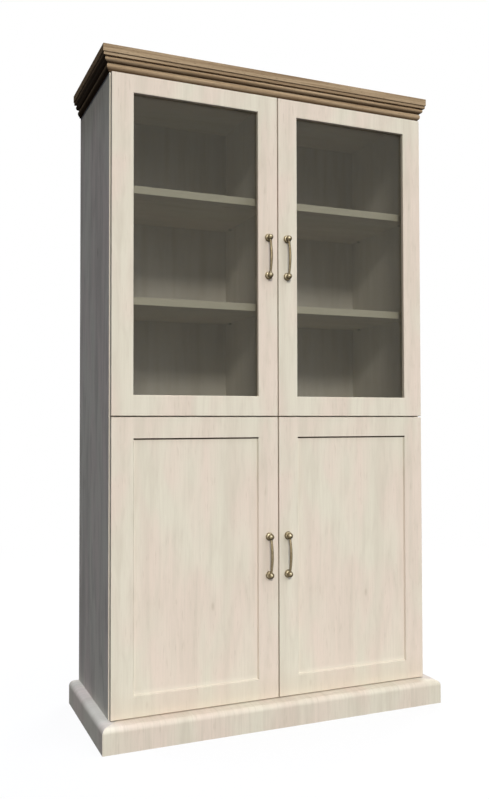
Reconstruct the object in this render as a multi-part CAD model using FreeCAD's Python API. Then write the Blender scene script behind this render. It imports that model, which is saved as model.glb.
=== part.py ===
import FreeCAD, Part
import math
import os

# A free-standing bookcase with four doors: two glazed doors above two panelled doors, a
# profiled crown on top and a round-nosed plinth below. Lengths are millimetres, angles degrees.
# +X is to the right, +Y to the back and +Z up. The origin is on the floor, under the middle of
# the whole outline.

Vector = FreeCAD.Vector

# Carcass
overall_height = 2182.5
carcass_width = 1148.0
carcass_depth = 440.0
side_thickness = 18.0
partition_thickness = 18.0
deck_thickness = 25.0
storey_level = 1017.0
ceiling_drop = 45.0
top_rail_thickness = 18.0
top_rail_drop = 28.0
panel_edge_radius = 1.0

# Back panels and their screws
back_thickness = 4.0
back_rebate = 10.0
back_margin = 2.0
back_joint_gap = 1.0
back_screw_radius = 1.6
back_screw_length = 18.0
back_screw_head_radius = 3.0
back_screw_inset = 5.0
back_screw_height_shares = (0.04, 0.27, 0.50, 0.73, 0.96)

# Shelves and shelf pins
shelf_thickness = 25.0
shelf_setback = 30.0
shelf_clearance = 1.0
upper_shelf_shares = (0.32, 0.652)
lower_shelf_shares = (0.315, 0.657)
shelf_pin_radius = 2.5
shelf_pin_collar_radius = 3.5
shelf_pin_depth = 6.5
shelf_pin_reach = 10.0
shelf_pin_place_shares = (0.12, 0.86)

# Dowels in the carcass joints
dowel_radius = 4.0
dowel_face_depth = 9.0
dowel_edge_depth = 18.0
dowel_place_shares = (0.13, 0.50, 0.87)

# Crown: a board above a moulding of one fillet, two beads and a neck
crown_board_thickness = 24.5
crown_reach = 26.0
crown_board_edge_radius = 1.2
fillet_height = 9.5
fillet_reach = 23.5
upper_bead_height = 16.5
upper_bead_reach = 17.5
lower_bead_height = 24.0
lower_bead_reach = 10.5
bead_bulge = 6.5
neck_height = 4.0

# Plinth: a moulding with a wall, a round nose and a flange that the carcass stands on
plinth_height = 79.0
plinth_front_reach = 53.0
plinth_side_reach = 35.0
plinth_nose_radius = 17.0
plinth_wall = 22.0
plinth_flange_width = 100.0
plinth_flange_thickness = 22.0
plinth_back_rail_thickness = 18.0

# Doors
door_thickness = 18.0
door_standoff = 4.0
door_reveal = 2.5
door_centre_gap = 3.0
door_storey_gap = 4.0
door_top_gap = 5.0
door_bottom_gap = 3.0
door_front_radius = 2.0
door_back_radius = 1.5
stile_width = 71.0
rail_width = 66.0
head_rail_width = 58.0
opening_edge_radius = 2.5
panel_recess = 6.0
panel_bevel = 4.0

# Glass, with the clips and screws that hold it in its rebate
glass_thickness = 4.0
glass_rebate_width = 10.0
glass_rebate_depth = 5.0
glass_edge_gap = 1.0
clip_width = 18.0
clip_foot = 10.0
clip_overlap = 7.0
clip_thickness = 2.0
clip_screw_radius = 1.5
clip_screw_length = 11.0
clip_screw_head_radius = 3.0
clip_screw_head_height = 1.4
clip_rail_shares = (0.2, 0.8)
clip_stile_shares = (0.1, 0.37, 0.63, 0.9)

# Handles: two rosettes with balls, and a bow that is thickest in the middle
handle_spacing = 128.0
handle_inset = 33.0
upper_handle_shift = -4.0
lower_handle_shift = 5.0
rosette_radius = 13.8
rosette_lip = 1.8
rosette_shoulder_radius = 12.4
rosette_shoulder_height = 6.0
rosette_neck_radius = 7.0
rosette_height = 9.0
ball_radius = 10.0
ball_centre = 15.5
bow_root = 13.2
bow_rise = 10.5
bow_end_radius = 2.9
bow_middle_radius = 4.7
bow_section_count = 9
handle_screw_radius = 2.0
handle_screw_bite = 9.0
handle_screw_head_radius = 4.0
handle_screw_head_height = 2.4

# Hinges: a cup in the door, one pin, a cranked arm and a plate on the side panel
hinge_end_distance = 100.0
hinge_pin_inset = 9.0
hinge_pin_radius = 1.6
hinge_pin_length = 18.0
hinge_running_clearance = 0.05
hinge_eye_radius = 3.2
hinge_crank_length = 14.0
hinge_arm_thickness = 3.0
hinge_arm_width = 11.0
hinge_arm_base_start = 20.0
hinge_arm_base_length = 46.0
hinge_cup_edge = 3.5
hinge_cup_radius = 17.5
hinge_cup_floor = 1.0
hinge_cup_clearance = 0.4
hinge_flange_radius = 19.0
hinge_flange_thickness = 1.2
hinge_plate_thickness = 3.5
hinge_plate_length = 50.0
hinge_plate_height = 16.0
hinge_wing_length = 15.0
hinge_wing_height = 48.0
hinge_screw_spacing = 32.0
hinge_screw_setback = 37.0
hinge_screw_radius = 2.0
hinge_screw_length = 15.0
hinge_screw_head_radius = 3.8
hinge_screw_head_height = 1.8

# Bumpers that the doors close against
bumper_radius = 4.0
bumper_gap = 0.3
bumper_inset = 60.0
bumper_edge_distance = 5.5

# Clearances, the free depth at the end of blind holes and the overrun of cuts
fit_clearance = 0.1
hole_clearance = 0.2
hole_end_gap = 1.0
cut_overrun = 5.0

# Planes across the depth, from the back to the front
total_depth = carcass_depth + door_standoff + door_thickness + plinth_front_reach
back_y = total_depth / 2
carcass_front_y = back_y - carcass_depth
back_panel_y = back_y - back_thickness
door_back_y = carcass_front_y - door_standoff
door_front_y = door_back_y - door_thickness
plinth_front_y = door_front_y - plinth_front_reach

# Planes across the width, on the right-hand side
side_outer_x = carcass_width / 2
side_inner_x = side_outer_x - side_thickness
partition_x = partition_thickness / 2
door_hinge_x = side_outer_x - door_reveal
door_free_x = door_centre_gap / 2
plinth_x = side_outer_x + plinth_side_reach

# Levels
crown_height = (crown_board_thickness + fillet_height + upper_bead_height + lower_bead_height
                + neck_height)
carcass_top_z = overall_height - crown_board_thickness
ceiling_z = carcass_top_z - ceiling_drop
top_rail_z = ceiling_z - top_rail_drop
deck_top_z = storey_level + deck_thickness / 2
deck_bottom_z = storey_level - deck_thickness / 2
floor_z = plinth_height + deck_thickness
upper_door_bottom_z = storey_level + door_storey_gap / 2
upper_door_top_z = overall_height - crown_height - door_top_gap
lower_door_top_z = storey_level - door_storey_gap / 2
lower_door_bottom_z = plinth_height + door_bottom_gap

pieces = {}
bores = {}


def add(name, *solids):
    """Put solids into a node."""
    pieces.setdefault(name, []).extend(solids)


def bore(name, *tools):
    """Keep tools that are cut out of a node at the end."""
    bores.setdefault(name, []).extend(tools)


def mirrored(solid):
    """The same solid on the left-hand side."""
    return solid.mirror(Vector(0, 0, 0), Vector(1, 0, 0))


def add_pair(name, *solids):
    """Put right-hand solids and their mirror images into the nodes of the two sides."""
    for solid in solids:
        add(name.format(side="right"), solid)
        add(name.format(side="left"), mirrored(solid))


def bore_pair(name, *tools):
    """Keep right-hand tools and their mirror images for the nodes of the two sides."""
    for tool in tools:
        bore(name.format(side="right"), tool)
        bore(name.format(side="left"), mirrored(tool))


def box(x_from, x_to, y_from, y_to, z_from, z_to):
    """A box between two planes on each axis, given in any order."""
    low = Vector(min(x_from, x_to), min(y_from, y_to), min(z_from, z_to))
    return Part.makeBox(abs(x_to - x_from), abs(y_to - y_from), abs(z_to - z_from), low)


def rod(radius, start, along):
    """A round bar from a point along a vector."""
    return Part.makeCylinder(radius, along.Length, start, along)


def share_of(low, high, share):
    """The place at a share of the way from low to high."""
    return low + (high - low) * share


def edges_on(solid, axis, level):
    """The edges of a solid that lie in one plane square to an axis."""
    found = []
    for edge in solid.Edges:
        limits = edge.BoundBox
        low, high = getattr(limits, axis + "Min"), getattr(limits, axis + "Max")
        if max(abs(low - level), abs(high - level)) < fit_clearance:
            found.append(edge)
    return found


def outline_prism(points, bottom, top):
    """An upright prism on an outline of (x, y) points."""
    corners = [Vector(x, y, bottom) for x, y in points]
    face = Part.Face(Part.makePolygon(corners + corners[:1]))
    return face.extrude(Vector(0, 0, top - bottom))


def countersunk_screw(start, along, radius, head_radius):
    """A flat-headed screw whose head is flush at its start."""
    direction = Vector(along).normalize()
    head_depth = head_radius - radius
    head = Part.makeCone(head_radius, radius, head_depth, start, direction)
    return rod(radius, start, along).fuse(head)


def pan_screw(start, along, radius, head_radius, head_height):
    """A screw whose head stands on the surface at its start, away from its shank."""
    direction = Vector(along).normalize()
    head = rod(head_radius, start, direction * -head_height)
    return rod(radius, start, along).fuse(head)


def dowel_joint(point, into_edge, face_node, edge_node):
    """One dowel between a panel's face and another panel's edge, with its two holes.

    The point lies where the two panels meet, and into_edge is the unit direction into the edge.
    """
    start = point - into_edge * dowel_face_depth
    along = into_edge * (dowel_face_depth + dowel_edge_depth)
    end_gap = into_edge * hole_end_gap
    hole = rod(dowel_radius + fit_clearance, start - end_gap, along + end_gap * 2)
    bore(face_node, hole)
    bore(edge_node, hole)
    add("carcass_dowels", rod(dowel_radius, start, along))


def carcass_panels():
    """The two sides, the bottom, the deck, the top, the partitions and the front rail."""
    side = box(side_inner_x, side_outer_x, carcass_front_y, back_y, plinth_height, carcass_top_z)
    side = side.makeFillet(panel_edge_radius, edges_on(side, "Y", carcass_front_y))
    rebate = box(side_inner_x - cut_overrun, side_inner_x + back_rebate, back_panel_y,
                 back_y + cut_overrun, plinth_height - cut_overrun, carcass_top_z + cut_overrun)
    add_pair("{side}_side_panel", side.cut(rebate))
    rail_back_y = carcass_front_y + top_rail_thickness
    across = (-side_inner_x, side_inner_x)
    add("bottom_panel", box(*across, carcass_front_y, back_panel_y, plinth_height, floor_z))
    add("middle_deck", box(*across, carcass_front_y, back_panel_y, deck_bottom_z, deck_top_z))
    add("top_panel", box(*across, rail_back_y, back_panel_y, ceiling_z, ceiling_z + deck_thickness))
    rail = box(*across, carcass_front_y, rail_back_y, top_rail_z, carcass_top_z)
    add("top_front_rail", rail)
    upper = box(-partition_x, partition_x, carcass_front_y, back_panel_y, deck_top_z, ceiling_z)
    add("upper_partition", upper.cut(rail))
    lower = box(-partition_x, partition_x, carcass_front_y, back_panel_y, floor_z, deck_bottom_z)
    add("lower_partition", lower)


def carcass_joints():
    """The dowels of every carcass joint."""
    middles = {
        "bottom_panel": share_of(plinth_height, floor_z, 0.5),
        "middle_deck": storey_level,
        "top_panel": ceiling_z + deck_thickness / 2,
    }
    sides = (("right_side_panel", side_inner_x, -1), ("left_side_panel", -side_inner_x, 1))
    for side_node, x, inward in sides:
        for panel, level in middles.items():
            for share in dowel_place_shares:
                y = share_of(carcass_front_y + top_rail_thickness, back_panel_y, share)
                dowel_joint(Vector(x, y, level), Vector(inward, 0, 0), side_node, panel)
        rail_middle_y = carcass_front_y + top_rail_thickness / 2
        for share in dowel_place_shares[::2]:
            level = share_of(top_rail_z, carcass_top_z, share)
            dowel_joint(Vector(x, rail_middle_y, level), Vector(inward, 0, 0), side_node, "top_front_rail")
    uprights = (
        ("bottom_panel", "lower_partition", floor_z, 1),
        ("middle_deck", "lower_partition", deck_bottom_z, -1),
        ("middle_deck", "upper_partition", deck_top_z, 1),
        ("top_panel", "upper_partition", ceiling_z, -1),
    )
    for face_node, edge_node, level, upward in uprights:
        for share in dowel_place_shares:
            y = share_of(carcass_front_y + top_rail_thickness, back_panel_y, share)
            dowel_joint(Vector(0, y, level), Vector(0, 0, upward), face_node, edge_node)


def back_panels():
    """Two thin back panels that meet on the partitions, and their screws."""
    bottom, top = plinth_height + back_margin, carcass_top_z - back_margin
    inner_x = back_joint_gap / 2
    outer_x = side_inner_x + back_rebate - fit_clearance
    add_pair("{side}_back_panel", box(inner_x, outer_x, back_panel_y, back_y, bottom, top))
    along = Vector(0, -back_screw_length, 0)
    for share in back_screw_height_shares:
        level = share_of(bottom, top, share)
        for x in (back_screw_inset, side_inner_x + back_rebate - back_screw_inset):
            start = Vector(x, back_y, level)
            screw = countersunk_screw(start, along, back_screw_radius, back_screw_head_radius)
            hole = countersunk_screw(start, along - Vector(0, hole_end_gap, 0),
                                     back_screw_radius + fit_clearance,
                                     back_screw_head_radius + fit_clearance)
            add("back_panel_screws", screw, mirrored(screw))
            bore_pair("{side}_back_panel", hole)
            if x > partition_x:
                bore_pair("{side}_side_panel", hole)
            else:
                for node in ("upper_partition", "lower_partition"):
                    bore(node, hole, mirrored(hole))


def shelves_of_bay(storey, shares, bottom, top):
    """The low and the high shelf of a storey's two bays, each on four pins."""
    left_x, right_x = partition_x + shelf_clearance, side_inner_x - shelf_clearance
    front_y = carcass_front_y + shelf_setback
    rear_y = back_panel_y - shelf_clearance
    for level_name, share in zip(("low", "high"), shares):
        underside = share_of(bottom, top, share)
        shelf = box(left_x, right_x, front_y, rear_y, underside, underside + shelf_thickness)
        shelf = shelf.makeFillet(panel_edge_radius, edges_on(shelf, "Y", front_y))
        add_pair(storey + "_{side}_" + level_name + "_shelf", shelf)
        pin_z = underside - shelf_pin_collar_radius - fit_clearance
        for place in shelf_pin_place_shares:
            y = share_of(front_y, rear_y, place)
            for x, inward, wall in ((side_inner_x, -1, "{side}_side_panel"), (partition_x, 1, None)):
                seat = Vector(x, y, pin_z)
                into_wall = Vector(-inward * shelf_pin_depth, 0, 0)
                end_gap = Vector(-inward * hole_end_gap, 0, 0)
                shank = rod(shelf_pin_radius, seat, into_wall)
                collar = rod(shelf_pin_collar_radius, seat, Vector(inward * shelf_pin_reach, 0, 0))
                pin = shank.fuse(collar)
                hole = rod(shelf_pin_radius + fit_clearance, seat, into_wall + end_gap)
                add("shelf_pins", pin, mirrored(pin))
                if wall:
                    bore_pair(wall, hole)
                else:
                    bore(storey + "_partition", hole, mirrored(hole))


def crown():
    """The top board and its mitred moulding along the front and both sides."""
    board_x = side_outer_x + crown_reach
    board = box(-board_x, board_x, carcass_front_y - crown_reach, back_y, carcass_top_z, overall_height)
    rims = [edge for edge in edges_on(board, "Z", overall_height) + edges_on(board, "Z", carcass_top_z)
            if edge.BoundBox.YMin < back_y - fit_clearance]
    add("crown_top_board", board.makeFillet(crown_board_edge_radius, rims))

    def bead(crest, top, bottom):
        """A rounded bead that swells from its ends to its crest."""
        ends = crest - bead_bulge
        middle = Vector(crest, 0, share_of(top, bottom, 0.5))
        return Part.Arc(Vector(ends, 0, top), middle, Vector(ends, 0, bottom)).toShape()

    fillet_z = carcass_top_z - fillet_height
    upper_z = fillet_z - upper_bead_height
    lower_z = upper_z - lower_bead_height
    neck_z = lower_z - neck_height
    upper_end = upper_bead_reach - bead_bulge
    lower_end = lower_bead_reach - bead_bulge
    upper_bead = bead(upper_bead_reach, fillet_z, upper_z)
    lower_bead = bead(lower_bead_reach, upper_z, lower_z)
    above = Part.makePolygon([Vector(0, 0, neck_z), Vector(0, 0, carcass_top_z),
                              Vector(fillet_reach, 0, carcass_top_z), Vector(fillet_reach, 0, fillet_z),
                              Vector(upper_end, 0, fillet_z)])
    between = Part.makePolygon([Vector(upper_end, 0, upper_z), Vector(lower_end, 0, upper_z)])
    below = Part.makePolygon([Vector(lower_end, 0, lower_z), Vector(lower_end, 0, neck_z),
                              Vector(0, 0, neck_z)])
    edges = above.Edges + [upper_bead] + between.Edges + [lower_bead] + below.Edges
    profile = Part.Face(Part.Wire(Part.__sortEdges__(edges)))
    widest = max(fillet_reach, upper_bead_reach, lower_bead_reach)
    outer_x, outer_y = side_outer_x + widest, carcass_front_y - widest
    mitre_outline = ((side_outer_x, carcass_front_y), (outer_x, outer_y))
    side_run = profile.copy()
    side_run.translate(Vector(side_outer_x, outer_y, 0))
    side_run = side_run.extrude(Vector(0, back_y - outer_y, 0))
    side_outline = mitre_outline + ((outer_x, back_y), (side_outer_x, back_y))
    side_plan = outline_prism(side_outline, neck_z, carcass_top_z)
    add_pair("crown_{side}_moulding", side_run.common(side_plan))
    front_run = profile.copy()
    front_run.rotate(Vector(0, 0, 0), Vector(0, 0, 1), -90)
    front_run.translate(Vector(-outer_x, carcass_front_y, 0))
    front_run = front_run.extrude(Vector(2 * outer_x, 0, 0))
    left_mitre = tuple((-x, y) for x, y in reversed(mitre_outline))
    front_plan = outline_prism(mitre_outline + left_mitre, neck_z, carcass_top_z)
    add("crown_front_moulding", front_run.common(front_plan))


def plinth():
    """The mitred base moulding along the front and both sides, and the rail at the back."""
    wall_top = plinth_height - plinth_flange_thickness
    nose_z = plinth_height - plinth_nose_radius
    slant = plinth_nose_radius * (1 - math.sqrt(0.5))
    nose = Part.Arc(Vector(0, 0, nose_z), Vector(-slant, 0, plinth_height - slant),
                    Vector(-plinth_nose_radius, 0, plinth_height)).toShape()
    rest = Part.makePolygon([
        Vector(-plinth_nose_radius, 0, plinth_height), Vector(-plinth_flange_width, 0, plinth_height),
        Vector(-plinth_flange_width, 0, wall_top), Vector(-plinth_wall, 0, wall_top),
        Vector(-plinth_wall, 0, 0), Vector(0, 0, 0), Vector(0, 0, nose_z)])
    profile = Part.Face(Part.Wire(Part.__sortEdges__([nose] + rest.Edges)))
    inner_x = plinth_x - plinth_flange_width
    inner_y = plinth_front_y + plinth_flange_width
    mitre_outline = ((plinth_x, plinth_front_y), (inner_x, inner_y))
    side_run = profile.copy()
    side_run.translate(Vector(plinth_x, plinth_front_y, 0))
    side_run = side_run.extrude(Vector(0, back_y - plinth_front_y, 0))
    side_plan = outline_prism(mitre_outline + ((inner_x, back_y), (plinth_x, back_y)), 0, plinth_height)
    add_pair("plinth_{side}", side_run.common(side_plan))
    front_run = profile.copy()
    front_run.rotate(Vector(0, 0, 0), Vector(0, 0, 1), -90)
    front_run.translate(Vector(-plinth_x, plinth_front_y, 0))
    front_run = front_run.extrude(Vector(2 * plinth_x, 0, 0))
    left_mitre = tuple((-x, y) for x, y in reversed(mitre_outline))
    add("plinth_front", front_run.common(outline_prism(mitre_outline + left_mitre, 0, plinth_height)))
    rail_y = back_y - plinth_back_rail_thickness
    add("plinth_back_rail", box(-inner_x, inner_x, rail_y, back_y, 0, plinth_height))


def door_slab(bottom, top):
    """A right-hand door blank with softened front and back edges."""
    slab = box(door_free_x, door_hinge_x, door_front_y, door_back_y, bottom, top)
    slab = slab.makeFillet(door_front_radius, edges_on(slab, "Y", door_front_y))
    return slab.makeFillet(door_back_radius, edges_on(slab, "Y", door_back_y))


def glazed_doors():
    """The upper door frames with their glass, glass clips and clip screws."""
    left_x, right_x = door_free_x + stile_width, door_hinge_x - stile_width
    bottom, top = upper_door_bottom_z + rail_width, upper_door_top_z - head_rail_width
    frame = door_slab(upper_door_bottom_z, upper_door_top_z)
    behind_y = door_back_y + cut_overrun
    frame = frame.cut(box(left_x, right_x, door_front_y - cut_overrun, behind_y, bottom, top))
    rim = [edge for edge in edges_on(frame, "Y", door_front_y)
           if edge.BoundBox.XMin > left_x - fit_clearance and edge.BoundBox.XMax < right_x + fit_clearance
           and edge.BoundBox.ZMin > bottom - fit_clearance and edge.BoundBox.ZMax < top + fit_clearance]
    frame = frame.makeFillet(opening_edge_radius, rim)
    seat_y = door_back_y - glass_rebate_depth
    rebate = (left_x - glass_rebate_width, right_x + glass_rebate_width,
              bottom - glass_rebate_width, top + glass_rebate_width)
    frame = frame.cut(box(rebate[0], rebate[1], seat_y, behind_y, rebate[2], rebate[3]))
    add_pair("upper_{side}_door_frame", frame)
    glass_back_y = seat_y + glass_thickness
    glass = box(rebate[0] + glass_edge_gap, rebate[1] - glass_edge_gap, seat_y, glass_back_y,
                rebate[2] + glass_edge_gap, rebate[3] - glass_edge_gap)
    add_pair("upper_{side}_glass", glass)
    places = []
    for share in clip_rail_shares:
        x = share_of(rebate[0], rebate[1], share)
        places += [(x, rebate[2], 0, -1), (x, rebate[3], 0, 1)]
    for share in clip_stile_shares:
        z = share_of(rebate[2], rebate[3], share)
        places += [(rebate[0], z, -1, 0), (rebate[1], z, 1, 0)]
    for x, z, out_x, out_z in places:
        glass_clip(x, z, out_x, out_z, glass_back_y)


def glass_clip(x, z, out_x, out_z, glass_back_y):
    """One clip across the edge of the glass rebate, pointing out of the opening, and its screw."""
    half_x, half_z = abs(out_z) * clip_width / 2, abs(out_x) * clip_width / 2
    clip_back_y = door_back_y + clip_thickness

    def strip(start, end, y_from, y_to):
        """The part of the clip between two distances along its outward direction."""
        return box(x + out_x * start - half_x, x + out_x * end + half_x, y_from, y_to,
                   z + out_z * start - half_z, z + out_z * end + half_z)

    tongue = strip(-clip_overlap, -glass_edge_gap, glass_back_y, clip_back_y)
    foot = strip(-clip_overlap, clip_foot, door_back_y, clip_back_y)
    start = Vector(x + out_x * clip_foot / 2, clip_back_y, z + out_z * clip_foot / 2)
    along = Vector(0, -clip_screw_length, 0)
    hole = rod(clip_screw_radius + fit_clearance, start, along - Vector(0, hole_end_gap, 0))
    screw = pan_screw(start, along, clip_screw_radius, clip_screw_head_radius, clip_screw_head_height)
    add_pair("upper_{side}_glass_clips", tongue.fuse(foot).removeSplitter().cut(hole))
    add_pair("upper_{side}_glass_clip_screws", screw)
    bore_pair("upper_{side}_door_frame", hole)


def panelled_doors():
    """The lower doors, whose fronts have a bevelled recess."""
    left_x, right_x = door_free_x + stile_width, door_hinge_x - stile_width
    bottom, top = lower_door_bottom_z + rail_width, lower_door_top_z - rail_width

    def loop(inset, y):
        """The recess outline at a depth, drawn in by an inset."""
        corners = [Vector(left_x + inset, y, bottom + inset), Vector(right_x - inset, y, bottom + inset),
                   Vector(right_x - inset, y, top - inset), Vector(left_x + inset, y, top - inset)]
        return Part.makePolygon(corners + corners[:1])

    slope = panel_bevel / panel_recess
    mouth = loop(-slope * cut_overrun, door_front_y - cut_overrun)
    floor = loop(panel_bevel, door_front_y + panel_recess)
    recess = Part.makeLoft([mouth, floor], True, True)
    add_pair("lower_{side}_door", door_slab(lower_door_bottom_z, lower_door_top_z).cut(recess))


def handle(storey, door_node, middle):
    """A bow handle on a door's free stile, with the two screws that hold it from behind."""
    x = door_free_x + handle_inset
    levels = (middle - handle_spacing / 2, middle + handle_spacing / 2)
    profile = [Vector(0, 0, 0), Vector(rosette_radius, 0, 0), Vector(rosette_radius, -rosette_lip, 0)]
    shoulder = Part.Arc(profile[-1], Vector(rosette_shoulder_radius, -rosette_shoulder_height, 0),
                        Vector(rosette_neck_radius, -rosette_height, 0)).toShape()
    stem = [Vector(rosette_neck_radius, -rosette_height, 0), Vector(rosette_neck_radius, -ball_centre, 0),
            Vector(0, -ball_centre, 0), Vector(0, 0, 0)]
    outline = Part.makePolygon(profile).Edges + [shoulder] + Part.makePolygon(stem).Edges
    section = Part.Face(Part.Wire(Part.__sortEdges__(outline)))
    rosette = section.revolve(Vector(0, 0, 0), Vector(0, 1, 0), 360)
    sections = []
    for index in range(bow_section_count):
        run = 2 * index / (bow_section_count - 1) - 1
        swell = 1 - run * run
        slope = math.degrees(math.atan2(2 * bow_rise * run, handle_spacing / 2))
        radius = share_of(bow_end_radius, bow_middle_radius, swell)
        ring = Part.Wire(Part.Circle(Vector(0, 0, 0), Vector(0, 0, 1), radius).toShape())
        centre_y = door_front_y - bow_root - bow_rise * swell
        centre = Vector(x, centre_y, middle + run * handle_spacing / 2)
        ring.Placement = FreeCAD.Placement(centre, FreeCAD.Rotation(Vector(1, 0, 0), -slope))
        sections.append(ring)
    body = Part.makeLoft(sections, True, False)
    for level in levels:
        base = rosette.copy()
        base.translate(Vector(x, door_front_y, level))
        ball = Part.makeSphere(ball_radius, Vector(x, door_front_y - ball_centre, level))
        body = body.fuse([base, ball])
    along = Vector(0, -door_thickness - handle_screw_bite, 0)
    for level in levels:
        start = Vector(x, door_back_y, level)
        screw = pan_screw(start, along, handle_screw_radius, handle_screw_head_radius,
                          handle_screw_head_height)
        add_pair(storey + "_{side}_handle_screws", screw)
        thread_along = along - Vector(0, hole_end_gap, 0)
        body = body.cut(rod(handle_screw_radius + fit_clearance, start, thread_along))
        bore_pair(door_node, rod(handle_screw_radius + hole_clearance, start, along))
    add_pair(storey + "_{side}_handle", body.removeSplitter())


def hinge(storey, door_node, level):
    """One hinge of a right-hand door at a level: cup and pin in the door, arm and plate inside."""
    pin_x, pin_y = door_hinge_x - hinge_pin_inset, door_back_y - door_thickness / 2
    cup_x = door_hinge_x - hinge_cup_edge - hinge_cup_radius
    arm_x = pin_x - hinge_crank_length
    half_arm = hinge_arm_thickness / 2
    half_width = hinge_arm_width / 2
    plate_face_x = side_inner_x - hinge_plate_thickness
    cavity_depth = door_thickness / 2 + hinge_eye_radius + hinge_cup_clearance
    cup_depth = cavity_depth + hinge_cup_floor
    cup_start = Vector(cup_x, door_back_y, level)
    pin_start = Vector(pin_x, pin_y, level - hinge_pin_length / 2)
    pin_along = Vector(0, 0, hinge_pin_length)

    cup = rod(hinge_cup_radius, cup_start, Vector(0, -cup_depth, 0))
    cup = cup.fuse(rod(hinge_flange_radius, cup_start, Vector(0, hinge_flange_thickness, 0)))
    half_cavity = half_width + hinge_cup_clearance
    cavity = box(arm_x - hinge_arm_thickness, pin_x + hinge_eye_radius + hinge_cup_clearance,
                 door_back_y - cavity_depth, door_back_y + cut_overrun,
                 level - half_cavity, level + half_cavity)
    pin_hole = rod(hinge_pin_radius + hinge_running_clearance, pin_start, pin_along)
    add_pair(storey + "_{side}_hinge_cups", cup.cut([cavity, pin_hole]))
    add_pair(storey + "_{side}_hinge_pins", rod(hinge_pin_radius, pin_start, pin_along))
    bore_along = Vector(0, -cup_depth - fit_clearance, 0)
    bore_pair(door_node, rod(hinge_cup_radius + fit_clearance, cup_start, bore_along))

    low, high = level - half_width, level + half_width
    eye = rod(hinge_eye_radius, Vector(pin_x, pin_y, low), Vector(0, 0, hinge_arm_width))
    crank = box(arm_x - half_arm, pin_x, pin_y - half_arm, pin_y + half_arm, low, high)
    base_y = carcass_front_y + hinge_arm_base_start
    neck = box(arm_x - half_arm, arm_x + half_arm, pin_y - half_arm, base_y, low, high)
    base = box(arm_x - half_arm, plate_face_x, base_y, base_y + hinge_arm_base_length, low, high)
    add("hinge_arms", *both(eye.fuse([crank, neck, base]).removeSplitter().cut(pin_hole)))

    screw_y = carcass_front_y + hinge_screw_setback
    half_plate, half_wing = hinge_plate_height / 2, hinge_wing_height / 2
    plate = box(plate_face_x, side_inner_x, base_y, base_y + hinge_plate_length,
                level - half_plate, level + half_plate)
    wings = box(plate_face_x, side_inner_x, screw_y - hinge_wing_length / 2,
                screw_y + hinge_wing_length / 2, level - half_wing, level + half_wing)
    plate = plate.fuse(wings).removeSplitter()
    for screw_z in (level - hinge_screw_spacing / 2, level + hinge_screw_spacing / 2):
        start = Vector(plate_face_x, screw_y, screw_z)
        along = Vector(hinge_screw_length, 0, 0)
        hole = rod(hinge_screw_radius + fit_clearance, start, along + Vector(hole_end_gap, 0, 0))
        plate = plate.cut(hole)
        bore_pair("{side}_side_panel", hole)
        screw = pan_screw(start, along, hinge_screw_radius, hinge_screw_head_radius,
                          hinge_screw_head_height)
        add("hinge_plate_screws", *both(screw))
    add("hinge_plates", *both(plate))


def both(solid):
    """A right-hand solid and its mirror image."""
    return solid, mirrored(solid)


def bumpers():
    """Soft pads on the carcass edges, two behind the free side of each door."""
    x = door_free_x + bumper_inset
    levels = (lower_door_bottom_z + bumper_edge_distance, lower_door_top_z - bumper_edge_distance,
              upper_door_bottom_z + bumper_edge_distance, upper_door_top_z - bumper_edge_distance)
    for level in levels:
        along = Vector(0, bumper_gap - door_standoff, 0)
        pad = rod(bumper_radius, Vector(x, carcass_front_y, level), along)
        add("door_bumpers", *both(pad))


def doors():
    """All four doors with their handles and hinges."""
    glazed_doors()
    panelled_doors()
    storeys = (
        ("upper", "upper_{side}_door_frame", upper_door_bottom_z, upper_door_top_z, upper_handle_shift),
        ("lower", "lower_{side}_door", lower_door_bottom_z, lower_door_top_z, lower_handle_shift),
    )
    for storey, door_node, bottom, top, handle_shift in storeys:
        middle = share_of(bottom, top, 0.5)
        handle(storey, door_node, middle + handle_shift)
        for level in (bottom + hinge_end_distance, middle, top - hinge_end_distance):
            hinge(storey, door_node, level)


def export_all():
    """Cut the bores and write one file per node."""
    os.makedirs("parts", exist_ok=True)
    for name, solids in pieces.items():
        if name in bores:
            solids = [solid.cut(bores[name]) for solid in solids]
        whole = [part for solid in solids for part in solid.Solids]
        bad = [part for part in whole if not part.isValid()]
        shape = whole[0] if len(whole) == 1 else Part.makeCompound(whole)
        shape.exportStep("parts/" + name + ".step")
        print(name, "solids", len(whole), "volume", round(shape.Volume), "invalid", len(bad))


carcass_panels()
carcass_joints()
back_panels()
shelves_of_bay("upper", upper_shelf_shares, deck_top_z, ceiling_z)
shelves_of_bay("lower", lower_shelf_shares, floor_z, deck_bottom_z)
crown()
plinth()
doors()
bumpers()
export_all()
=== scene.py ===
"""Looks of a tall bookcase with glass doors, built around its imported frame.

The boards, mouldings, panes and fittings of the frame keep their shape and get their finishes here.
The four bow handles are turned and swept anew with finer rings. Lengths are metres in the frame's
own axes: X to the right of someone facing the doors, Y to the back, Z up from the floor.
"""

import logging
from dataclasses import astuple, dataclass
from enum import Enum
from functools import cache
from typing import Iterable, Optional, Sequence

import bpy
import numpy as np
from mathutils import Matrix, Vector


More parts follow.
